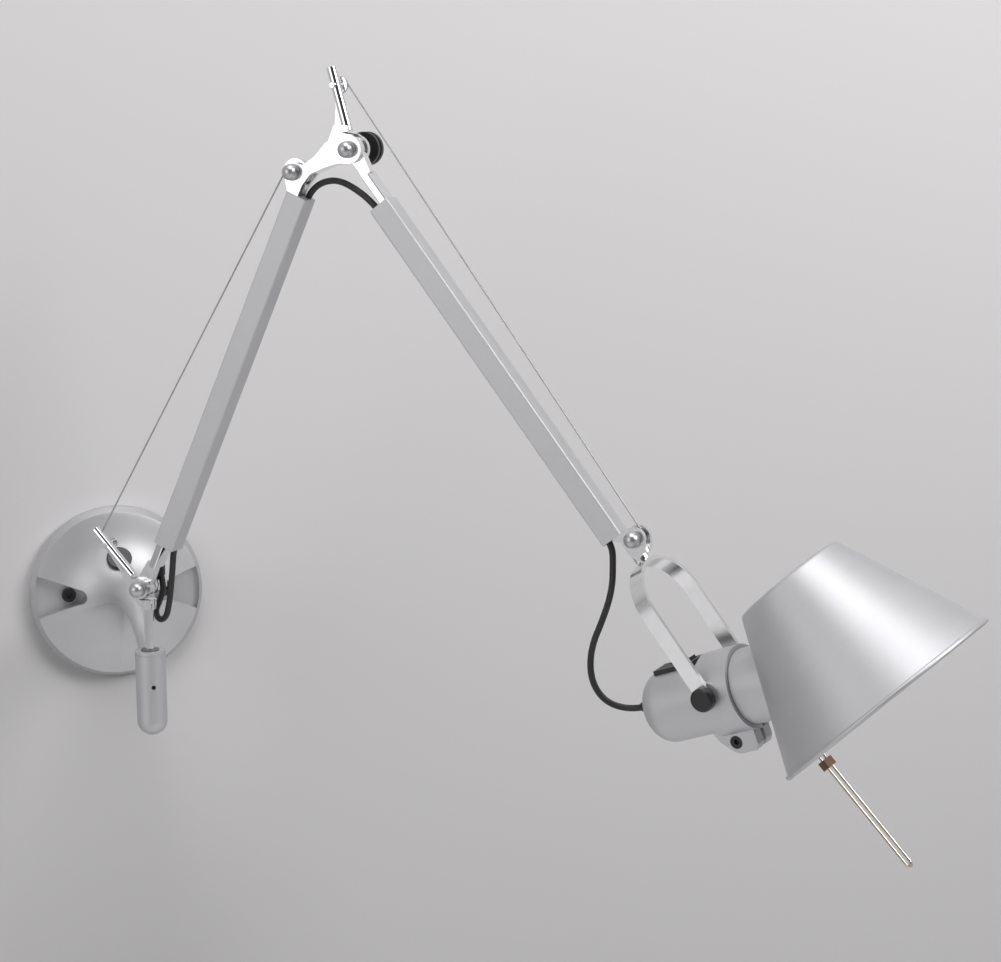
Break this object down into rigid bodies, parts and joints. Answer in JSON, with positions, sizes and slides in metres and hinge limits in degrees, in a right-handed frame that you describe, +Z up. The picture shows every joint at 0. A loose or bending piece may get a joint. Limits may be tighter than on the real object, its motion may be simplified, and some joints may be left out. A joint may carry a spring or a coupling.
{
  "type": "articulating wall lamp",
  "caption": "Wall lamp with a round wall plate, spring-balanced square arms worked by tension ropes, and a conical shade on a tilting fork.",
  "frame": {"origin": "middle of the wall face of the round plate, halfway between the wall screws", "axes": "+Z up, -Y out of the wall into the room, +X to the right for someone facing the wall"},
  "size_m": [0.4624, 0.5422, 0.4344],
  "materials": {
    "satin_aluminium": "satin",
    "shade_aluminium": "satin brushed",
    "polished_alloy": "polished",
    "chromed_steel": "polished",
    "black_plastic": "matte",
    "dark_grey_plastic": "matte",
    "black_rubber": "matte",
    "steel_rope": "fine wire rope",
    "brown_block": "matte",
    "white_ceramic": "matte",
    "lamp_glass": "clear frosted"
  },
  "bodies": {
    "wall_mount": {"wall_casting": "satin_aluminium", "wall_screws": "black_plastic", "cover_plug": "black_plastic", "socket_bush": "dark_grey_plastic", "socket_set_screw": "black_plastic", "terminal_block": "white_ceramic"},
    "swivel": {"swivel_pin": "chromed_steel", "swivel_bracket": "polished_alloy", "lower_lever_rod": "chromed_steel", "lower_anchor_pin": "chromed_steel", "lower_pivot_bolt": "polished_alloy", "lower_pivot_nut": "chromed_steel", "cable_hood": "dark_grey_plastic"},
    "lower_arm": {"lower_tongue": "polished_alloy", "lower_foot_bar": "chromed_steel", "lower_tube": "satin_aluminium", "lower_end_caps": "dark_grey_plastic", "lower_spring": "steel_rope", "lower_tube_lead": "black_rubber", "lower_rope_inner": "steel_rope", "elbow_casting": "polished_alloy", "lower_pulley_pin": "polished_alloy", "upper_lever_rod": "chromed_steel", "upper_anchor_pin": "chromed_steel", "elbow_bolt": "polished_alloy", "base_lead": "black_rubber", "lower_rope": "steel_rope"},
    "lower_pulley_wheel": {"lower_pulley": "black_plastic"},
    "clamp_knob": {"elbow_knob": "chromed_steel"},
    "upper_arm": {"upper_tongue": "polished_alloy", "upper_foot_bar": "chromed_steel", "upper_tube": "satin_aluminium", "upper_end_caps": "dark_grey_plastic", "upper_spring": "steel_rope", "upper_tube_lead": "black_rubber", "upper_rope_inner": "steel_rope", "end_fitting": "polished_alloy", "upper_pulley_pin": "polished_alloy", "elbow_lead": "black_rubber", "upper_rope": "steel_rope", "head_lead_upper": "black_rubber"},
    "upper_pulley_wheel": {"upper_pulley": "black_plastic"},
    "fork": {"head_fork": "polished_alloy", "stem_ring": "polished_alloy", "tilt_pins": "chromed_steel", "fork_caps": "black_plastic"},
    "head": {"rear_housing": "satin_aluminium", "clamp_ring": "satin_aluminium", "clamp_screw": "black_plastic", "switch_frame": "black_plastic", "cable_gland": "black_rubber", "lampholder": "white_ceramic", "lamp": "lamp_glass", "head_lead_lower": "black_rubber"},
    "rocker": {"switch_rocker": "black_plastic"},
    "shade": {"shade": "shade_aluminium", "shade_neck": "satin_aluminium", "hairpin_handle": "chromed_steel", "hairpin_block": "brown_block", "hairpin_bracket": "brown_block"}
  },
  "joints": [
    {"name": "base_swivel", "type": "hinge", "parent": "wall_mount", "child": "swivel", "pos_m": [0, -0.13773, 0], "axis": [0, 0, 1], "range_deg": [-125, 30]},
    {"name": "lower_arm_lift", "type": "hinge", "parent": "swivel", "child": "lower_arm", "pos_m": [-0.00192, -0.1361, 0.02789], "axis": [-0.6484, -0.7613, 0], "range_deg": [-50, 25], "deforming": ["lower_rope", "base_lead"]},
    {"name": "lower_pulley_turn", "type": "hinge", "parent": "lower_arm", "child": "lower_pulley_wheel", "pos_m": [0.08397, -0.20925, 0.2811], "axis": [-0.6484, -0.7613, 0], "range_deg": [-145, 290]},
    {"name": "knob_turn", "type": "hinge", "parent": "lower_arm", "child": "clamp_knob", "pos_m": [0.1115, -0.23269, 0.29394], "axis": [0.6484, 0.7613, 0], "range_deg": [-180, 180]},
    {"name": "elbow_lift", "type": "hinge", "parent": "lower_arm", "child": "upper_arm", "pos_m": [0.1115, -0.23269, 0.29394], "axis": [-0.6484, -0.7613, 0], "range_deg": [-35, 80], "deforming": ["upper_rope", "elbow_lead"]},
    {"name": "upper_pulley_turn", "type": "hinge", "parent": "upper_arm", "child": "upper_pulley_wheel", "pos_m": [0.24296, -0.34465, 0.07828], "axis": [-0.6484, -0.7613, 0], "range_deg": [-365, 165]},
    {"name": "fork_swivel", "type": "hinge", "parent": "upper_arm", "child": "fork", "pos_m": [0.24644, -0.34761, 0.0641], "axis": [0.4518, -0.3848, -0.8049], "range_deg": [-120, 120], "deforming": ["head_lead_upper"]},
    {"name": "head_tilt", "type": "hinge", "parent": "fork", "child": "head", "pos_m": [0.2829, -0.37866, -0.00086], "axis": [0.7542, 0.6466, 0.1142], "range_deg": [-30, 110], "deforming": ["head_lead_lower"]},
    {"name": "rocker_press", "type": "hinge", "parent": "head", "child": "rocker", "pos_m": [0.26411, -0.35755, 0.00362], "axis": [0.7542, 0.6466, 0.1142], "range_deg": [0, 12]},
    {"name": "shade_turn", "type": "hinge", "parent": "head", "child": "shade", "pos_m": [0.28511, -0.38055, -0.0048], "axis": [0.5843, -0.7403, 0.3324], "range_deg": [-170, 170]}
  ],
  "couplings": [
    {"joint": "lower_pulley_turn", "follows": "lower_arm_lift", "ratio": -5.64},
    {"joint": "upper_pulley_turn", "follows": "elbow_lift", "ratio": -4.5}
  ]
}
